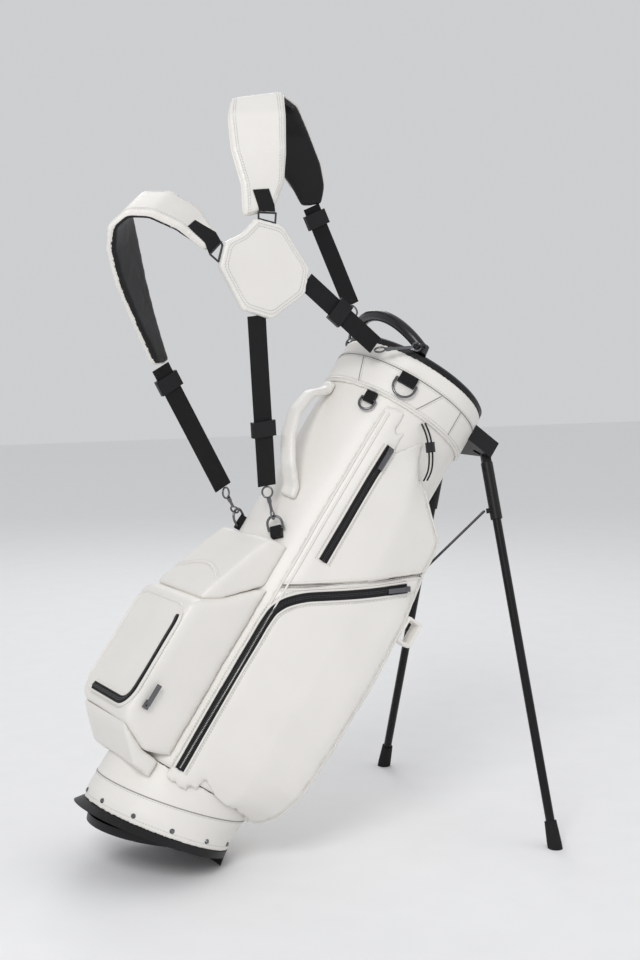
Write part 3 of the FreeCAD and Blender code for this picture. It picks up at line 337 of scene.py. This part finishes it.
def along_line(line, pitch):
    """Places, directions and normals at an even pitch along a laid line."""
    result, left = [], 0.0
    for (here, normal), (there, _) in zip(line, line[1:]):
        run = (there - here).length
        while left < run and run > 1e-7:
            result.append((here.lerp(there, left / run), (there - here) / run, normal))
            left += pitch
        left -= run
    return result


def stitches(name, line, mat=None, pitch=0.005, length=0.0036, wide=0.0009):
    """A row of thread stitches, each a small rounded lozenge pressed into the surface."""
    points, faces = [], []
    for place, along, normal in along_line(line, pitch):
        side = along.cross(normal).normalized()
        first = len(points)
        for share, thick in ((-0.5, 0.35), (-0.25, 1.0), (0.25, 1.0), (0.5, 0.35)):
            middle = place + along * (length * share)
            for turn in range(6):
                angle = turn * math.pi / 3
                points.append(middle + (side * math.cos(angle) + normal * math.sin(angle) * 0.8)
                              * (wide * thick))
        for ring in range(3):
            for turn in range(6):
                a, b = first + ring * 6 + turn, first + ring * 6 + (turn + 1) % 6
                faces.append((a, b, b + 6, a + 6))
        faces.append([first + i for i in range(5, -1, -1)])
        faces.append([first + 18 + i for i in range(6)])
    mesh = bpy.data.meshes.new(name)
    mesh.from_pydata(points, [], faces)
    return finish_piece(link(name, mesh, mat or THREAD))


def ribbon(name, line, half, thick, mat, ribs=5, body="bag"):
    """A flat tape or webbing along a laid line, with a rounded, slightly ribbed section."""
    section = []
    for i in range(ribs * 2 + 1):
        share = i / (ribs * 2) * 2 - 1
        crown = thick * (0.5 - 0.35 * abs(share) ** 6 + (0.05 if i % 2 else 0))
        section.append((share * half, crown))
    section += [(x, -y * 0.9) for x, y in reversed(section)]
    points, faces, size = [], [], len(section)
    for i, (place, normal) in enumerate(line):
        along = line[min(i + 1, len(line) - 1)][0] - line[max(i - 1, 0)][0]
        side = along.cross(normal).normalized()
        points += [place + side * x + normal * y for x, y in section]
    for i in range(len(line) - 1):
        for j in range(size):
            k = (j + 1) % size
            faces.append((i * size + j, i * size + k, (i + 1) * size + k, (i + 1) * size + j))
    faces.append(list(range(size)))
    faces.append([(len(line) - 1) * size + j for j in range(size - 1, -1, -1)])
    mesh = bpy.data.meshes.new(name)
    mesh.from_pydata(points, [], faces)
    mesh.validate()
    return finish_piece(link(name, mesh, mat), body)


def zip_teeth(name, line, side_gap=0.0013):
    """Two interlocked rows of coil teeth along a laid line."""
    rows = []
    for shift in (-1, 1):
        row = []
        for i, (place, normal) in enumerate(line):
            along = line[min(i + 1, len(line) - 1)][0] - line[max(i - 1, 0)][0]
            side = along.cross(normal).normalized()
            row.append((place + side * side_gap * shift + normal * 0.0012, normal))
        rows.append(row)
    for i, row in enumerate(rows):
        stitches(f"{name}_{i}", row, TEETH, pitch=0.0026, length=0.0019, wide=0.0012)


# ------------------------------------------------------------------ tube

def shell_tube():
    """Leather outside and dark liner inside the tubular body; wall, bottom and top in mm."""
    rings, turns, wall = 90, 128, 3
    bottom, top = 84.6, BODY_LENGTH - 0.3
    points, faces = [], []
    for radius in (BODY_RADIUS, BODY_RADIUS - wall):
        for i in range(rings + 1):
            height = bottom + (top - bottom) * i / rings
            for j in range(turns):
                place = round_bag(radius, 360 * j / turns, height)
                if radius == BODY_RADIUS:
                    place = round_bag(radius + 0.25 * noise.noise(place * 16) - 0.1,
                                      360 * j / turns, height)
                points.append(place)
    layer = (rings + 1) * turns
    for i in range(rings):
        for j in range(turns):
            k = (j + 1) % turns
            a, b = i * turns + j, i * turns + k
            faces.append((a, a + turns, b + turns, b))
            faces.append((layer + a, layer + b, layer + b + turns, layer + a + turns))
    for j in range(turns):
        k = (j + 1) % turns
        last = rings * turns
        faces.append((j, k, layer + k, layer + j))
        faces.append((last + j, layer + last + j, layer + last + k, last + k))
    mesh = bpy.data.meshes.new("shell_tube")
    mesh.from_pydata(points, [], faces)
    piece = link("shell_tube", mesh, LEATHER, LINER)
    for index, face in enumerate(mesh.polygons):
        face.material_index = 1 if index < rings * turns * 2 and index % 2 else 0
    finish_piece(piece)
    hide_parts("body_shell")


STATIONS = [  # height, swell, share of the front edge's reach
    (66, 0.10, 0.70), (80, 0.30, 0.88), (105, 0.60, 0.97), (145, 0.86, 1), (250, 1, 1),
    (380, 1.04, 1), (470, 1, 1), (585, 0.70, 1), (630, 0.66, 1), (655, 0.62, 0.75),
    (703, 0.50, 0.36), (778, 0.12, 0.06)]


def front_edge(height, side):
    """A point on the side pockets' front piping."""
    for (low, *start), (high, *end) in zip(STATIONS, STATIONS[1:]):
        if height <= high:
            share = (height - low) / (high - low)
            swell, reach = [a + (b - a) * share for a, b in zip(start, end)]
            break
    edge = BODY_RADIUS * 0.62 + (POCKET_DEPTH - BODY_RADIUS * 0.62) * swell
    return bag(POCKET_FRONT * reach, side * edge, height)


LOWER_ZIP = [(-76, 90), (-76, 145), (-76, 250), (-76, 350), (-74, 380), (-66, 400), (-55, 414),
             (-40, 428), (0, 457), (31, 480), (70, 508), (100, 530)]
UPPER_ZIP = [(-49, 490), (-49, 585), (-49, 630), (-49, 655), (-47, 703), (-46, 712)]


def offset_line(line, shift, lift=0.0):
    """A laid line moved sideways on its surface."""
    moved = []
    for i, (place, normal) in enumerate(line):
        along = line[min(i + 1, len(line) - 1)][0] - line[max(i - 1, 0)][0]
        side = along.cross(normal).normalized()
        moved.append((place + side * shift + normal * lift, normal))
    return moved


def side_trim(side, word, tree):
    """Zips, piping and stitching on one side's pockets."""
    inward = Vector((0, -side, 0))

    def on_side(pairs, lift=0.0):
        return laid(tree, [bag(x, side * 300, h) for x, h in pairs], lift, inward)

    for level, pairs in (("lower", LOWER_ZIP), ("upper", UPPER_ZIP)):
        line = on_side(pairs, 0.0012)
        ribbon(f"{word}_{level}_tape", line, 0.0078, 0.0018, TAPE)
        zip_teeth(f"{word}_{level}_teeth", offset_line(line, 0, 0.0004))
        for shift in (-1, 1):
            welt = offset_line(line, shift * 0.0092, -0.0002)
            tube(f"{word}_{level}_welt_{shift + 1}", welt, 0.0019, PIPE)
            stitches(f"{word}_{level}_welt_thread_{shift + 1}", offset_line(line, shift * 0.0135, -0.0009))
    for name, shift in (("under", -6), ("over", 7)):
        pairs = [(x, 478 + 0.7265 * x + shift) for x in range(-100, 121, 10)]
        line = on_side(pairs, 0.0004)
        tube(f"{word}_split_{name}", line, 0.0017, PIPE)
        stitches(f"{word}_split_thread_{name}", offset_line(line, 0.006 if shift > 0 else -0.006, -0.0007))
    edge = [front_edge(height, side) for height in range(76, 700, 8)]
    line = laid(tree, edge, 0.0007)
    tube(f"{word}_front_piping", line, 0.0024, PIPE)
    stitches(f"{word}_front_thread", offset_line(line, side * 0.007, -0.0012))
    for phi, name in ((37.5, "inner"), (33, "outer")):
        turn = phi if side < 0 else 180 - phi
        line = laid(tree, [round_bag(143, turn, h) for h in range(92, 772, 10)], 0.0006)
        tube(f"{word}_spine_piping_{name}", line, 0.0020, PIPE)


def spine_trim(ball, pouch):
    """Door, zip and piping of the ball pocket, and seams of the spine."""
    ball_tree = tree_of(ball)
    back = BAG.to_3x3() @ Vector((1, 0, 0))

    def on_face(pairs, lift=0.0, on=ball_tree):
        return laid(on, [bag(-320, y, h) for y, h in pairs], lift, back)

    def rounded(half, low, high, corner):
        loop = []
        for cy, cz, first in ((half - corner, low + corner, -90), (half - corner, high - corner, 0),
                              (corner - half, high - corner, 90), (corner - half, low + corner, 180)):
            for i in range(9):
                turn = math.radians(first + i * 90 / 8)
                loop.append((cy + corner * math.cos(turn), cz + corner * math.sin(turn)))
        return loop + loop[:1]

    door = rounded(84, 136, 306, 26)
    tape = on_face(door[23:36] + door[:1], 0.0010)
    outline = on_face(rounded(93, 128, 314, 30), 0.0004)
    tube("ball_door_piping", outline[:-1], 0.0022, PIPE, closed=True)
    ribbon("ball_door_tape", tape, 0.0065, 0.0016, TAPE)
    zip_teeth("ball_door_teeth", offset_line(tape, 0, 0.0003))
    for name, shift in (("inner", -0.0082), ("outer", 0.0082)):
        tube(f"ball_door_welt_{name}", offset_line(tape, shift, -0.0002), 0.0018, PIPE)
    stitches("ball_door_thread", offset_line(tape, -0.0125, -0.0009))
    arc = [(-80 + i * 8, 372 + 26 * math.cos(math.radians(-80 + i * 8))) for i in range(21)]
    slit = on_face(arc, 0.0005, tree_of(pouch))
    tube("pouch_slit_piping", slit, 0.0019, PIPE)
    stitches("pouch_slit_thread", offset_line(slit, 0.006, -0.0008))


def collar_trim(collar):
    tree = tree_of(collar)
    for name, height, radius, mat in (("middle", 838, 0.0011, SEAM), ("lower", 787, 0.0020, PIPE)):
        ring = laid(tree, [round_bag(150, phi, height) for phi in range(0, 361, 4)], 0.0002)
        tube(f"collar_seam_{name}", ring[:-1], radius, mat, closed=True)
    for name, height in (("a", 792.5), ("b", 841.5), ("c", 834.5)):
        ring = laid(tree, [round_bag(150, phi, height) for phi in range(0, 361, 4)], 0.0)
        stitches(f"collar_thread_{name}", ring)
    for i, (low, high) in enumerate(((18, 6), (66, 74), (128, 120), (196, 196), (270, 270), (344, 344))):
        line = laid(tree, [round_bag(150, low + (high - low) * k / 8, 789 + k * 5.9) for k in range(9)])
        tube(f"collar_panel_seam_{i}", line, 0.0009, SEAM)
        stitches(f"collar_panel_thread_{i}", offset_line(line, 0.0035))


def sleeve_trim(sleeve):
    tree = tree_of(sleeve)
    for name, height in (("hem", 5), ("upper", 44)):
        ring = []
        for degrees in range(0, 361, 4):
            turn = math.radians(degrees)
            outward = Vector((-150 * math.sin(turn), -150 * math.cos(turn), height))
            ring.append(BASE @ (outward / 1000))
        line = laid(tree, ring)
        stitches(f"sleeve_thread_{name}", line)
        if name == "upper":
            tube("sleeve_upper_seam", offset_line(line, 0.003)[:-1], 0.0010, SEAM, closed=True)


# ------------------------------------------------------------------ harness

LOWER_PAD = [
    ((-480, -70, 797), (-474, -68, 828)), ((-540, -75, 795), (-510, -22, 855)),
    ((-585, -68, 785), (-556, -8, 852)), ((-613, -58, 766), (-585, 12, 832)),
    ((-618, -45, 738), (-588, 28, 798)), ((-597, -30, 712), (-548, 36, 765)),
    ((-552, -15, 682), (-506, 42, 728)), ((-485, 5, 650), (-450, 50, 685)),
    ((-418, 27, 622), (-392, 53, 643))]
UPPER_PAD = [
    ((-456, -68, 881), (-423, -69, 921)), ((-485, -66, 920), (-430, -68, 965)),
    ((-525, -50, 960), (-457, -68, 1010)), ((-550, -22, 1010), (-482, -45, 1066)),
    ((-550, 8, 1045), (-492, -15, 1103)), ((-510, 42, 1072), (-448, 22, 1122)),
    ((-455, 68, 1065), (-392, 50, 1110)), ((-402, 84, 1045), (-342, 65, 1090)),
    ((-350, 93, 1035), (-310, 75, 1068))]


def shoulder_pad(word, edges):
    """A padded band: leather outside, lining inside, with a double row of stitches."""
    pad = soft_node(f"{word}_shoulder_pad", pad=0.7, voxel=0.003, rounds=22, swell=0.0016, sag=0.0006)
    pad.data.materials.append(LINING)
    edges = [(bag(*a), bag(*b)) for a, b in edges]
    stations = []
    for i, (near, far) in enumerate(edges):
        before, after = edges[max(i - 1, 0)], edges[min(i + 1, len(edges) - 1)]
        along = (after[0] + after[1]) - (before[0] + before[1])
        stations.append((near, far, (far - near).cross(along).normalized()))
    middles = [(near + far) / 2 for near, far, _ in stations]
    sides = [(face.center.copy(), face.normal.copy()) for face in pad.data.polygons]
    inside = []
    for place, normal in sides:
        nearest = min(range(len(middles)), key=lambda i: (middles[i] - place).length)
        inside.append(int(normal.dot(stations[nearest][2]) < -0.25))
    pad.data.polygons.foreach_set("material_index", inside)
    tree = tree_of(pad)
    for row, inset in (("outer", 5), ("inner", 9)):
        loop = []
        for near, far, outward in stations:
            across = (far - near).normalized() * inset / 1000
            loop.append((near + across + outward * 0.012, far - across + outward * 0.012))
        path = [a for a, _ in loop] + [b for _, b in reversed(loop)]
        line = laid(tree, path + path[:1], 0.0001)
        stitches(f"{word}_pad_thread_{row}", line, pitch=0.0045)
    rim = laid(tree, [near for near, _, _ in stations] + [far for _, far, _ in reversed(stations)]
               + [stations[0][0]], 0.0003)
    tube(f"{word}_pad_binding", rim[:-1], 0.0016, PIPE, closed=True)


def middle_pad():
    """Eight-sided pad with a stitched edge."""
    pad = soft_node("centre_pad", pad=0.8, voxel=0.003, rounds=5, swell=0.0009, sag=0.0004)
    tree = tree_of(pad)
    corners = [(-14, 74), (30, 65), (79, -2), (71, -43), (11, -83), (-40, -69), (-80, -2),
               (-70, 36), (-40, 50)]
    middle = bag(-385, -70, 834)
    for row, share in (("outer", 0.92), ("inner", 0.86)):
        loop = [middle + Vector((x * share, -60, z * share)) / 1000 for x, z in corners]
        line = laid(tree, loop + loop[:1], 0.0001, Vector((0, 1, 0)))
        stitches(f"centre_pad_thread_{row}", line, pitch=0.0045)


def woven_node(node):
    """Webbing over a CAD strap, with rounded edges and a slight unevenness."""
    piece = node_copy(node, f"{node}_woven", WEBBING)
    bevel = piece.modifiers.new("edges", "BEVEL")
    bevel.width = 0.0006
    bevel.segments = 2
    bevel.limit_method = "ANGLE"
    finer = piece.modifiers.new("finer", "SUBSURF")
    finer.subdivision_type = "SIMPLE"
    finer.levels = finer.render_levels = 2
    applied(piece)
    swell_out(piece, 0, 0.0004, 40)
    finish_piece(piece, smooth=False)
    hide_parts(node)


# ------------------------------------------------------------------ elastic loop

CORD_POINTS = [(-15.6, -130.3, 779.5), (-9, -141, 770), (2, -147, 757), (15, -149, 741),
               (28, -146, 726), (38, -139, 713), (44, -129, 704)]


def elastic_loop():
    route = [Vector(point) for point in CORD_POINTS]
    aside = (route[3] - route[2]).cross(Vector((0, 1, 0))).normalized() * 7
    for word, shift in (("front", -0.5), ("rear", 0.5)):
        curve = bpy.data.curves.new(f"elastic_{word}", "CURVE")
        curve.dimensions = "3D"
        curve.bevel_depth = 0.0015
        curve.bevel_resolution = 4
        curve.use_fill_caps = True
        spline = curve.splines.new("NURBS")
        spline.points.add(len(route) - 1)
        places = [bag(*(point + aside * shift)) for point in route]
        for target, place in zip(spline.points, places):
            target.co = (*place, 1)
        spline.order_u = 3
        spline.use_endpoint_u = True
        spline.resolution_u = 12
        curve.materials.append(ELASTIC)
        piece = bpy.data.objects.new(f"elastic_{word}", curve)
        scene.collection.objects.link(piece)
        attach(piece, "bag")
        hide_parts("elastic_loop")


# ------------------------------------------------------------------ assembly

CAD_LOOKS = {
    "moulded_black": PLASTIC, "gunmetal": GUNMETAL, "tube_black": TUBE, "rubber_black": RUBBER,
    "steel_wire": WIRE, "webbing_black": WEBBING, "white_leather": LEATHER, "shell_liner": LINER,
    "elastic_black": ELASTIC}


def dress_nodes():
    """Node-based materials on every CAD node that stays in view."""
    slots = {part["node"]: part["material_slot"] for part in frame["record"]["subparts"]}
    for name, piece in nodes.items():
        look = CAD_LOOKS[slots[name]]
        if name in ("top_handle", "cord_lock"):
            look = SHINY
        piece.data.materials.clear()
        piece.data.materials.append(look)


add_camera()
elastic_loop()
add_studio()
dress_nodes()
shell_tube()
sleeve = soft_node("base_sleeve", voxel=0.0022, rounds=3, swell=0.0003, sag=0.0004)
collar = soft_node("top_collar", voxel=0.0025, rounds=4, swell=0.0006, sag=0.0005, pad=0.6)
pockets = {}
for word in ("near", "far"):
    for level in ("lower", "upper"):
        pockets[word, level] = soft_node(f"{word}_{level}_pocket", voxel=0.005, rounds=12,
                                         swell=0.0012, sag=0.0022)
ball = soft_node("ball_pocket", voxel=0.005, rounds=16, swell=0.0012, sag=0.0015)
pouch = soft_node("valuables_pocket", voxel=0.004, rounds=16, swell=0.0010, sag=0.0012)
soft_node("grab_flap", voxel=0.0035, rounds=12, swell=0.0010, sag=0.0008)
soft_node("carry_handle", voxel=0.0025, rounds=24, swell=0.0016, sag=0.0003, pad=0.7)
soft_node("umbrella_tab", voxel=0.002, rounds=4, swell=0.0004, sag=0.0002)
for side, word in ((-1, "near"), (1, "far")):
    side_trim(side, word, tree_of(pockets[word, "lower"], pockets[word, "upper"]))
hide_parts("zip_tapes")
spine_trim(ball, pouch)
collar_trim(collar)
sleeve_trim(sleeve)
shoulder_pad("lower", LOWER_PAD)
shoulder_pad("upper", UPPER_PAD)
middle_pad()
for strap in ("shoulder_webbing", "centre_webbing", "side_webbing", "pad_webbing", "ring_tabs"):
    woven_node(strap)
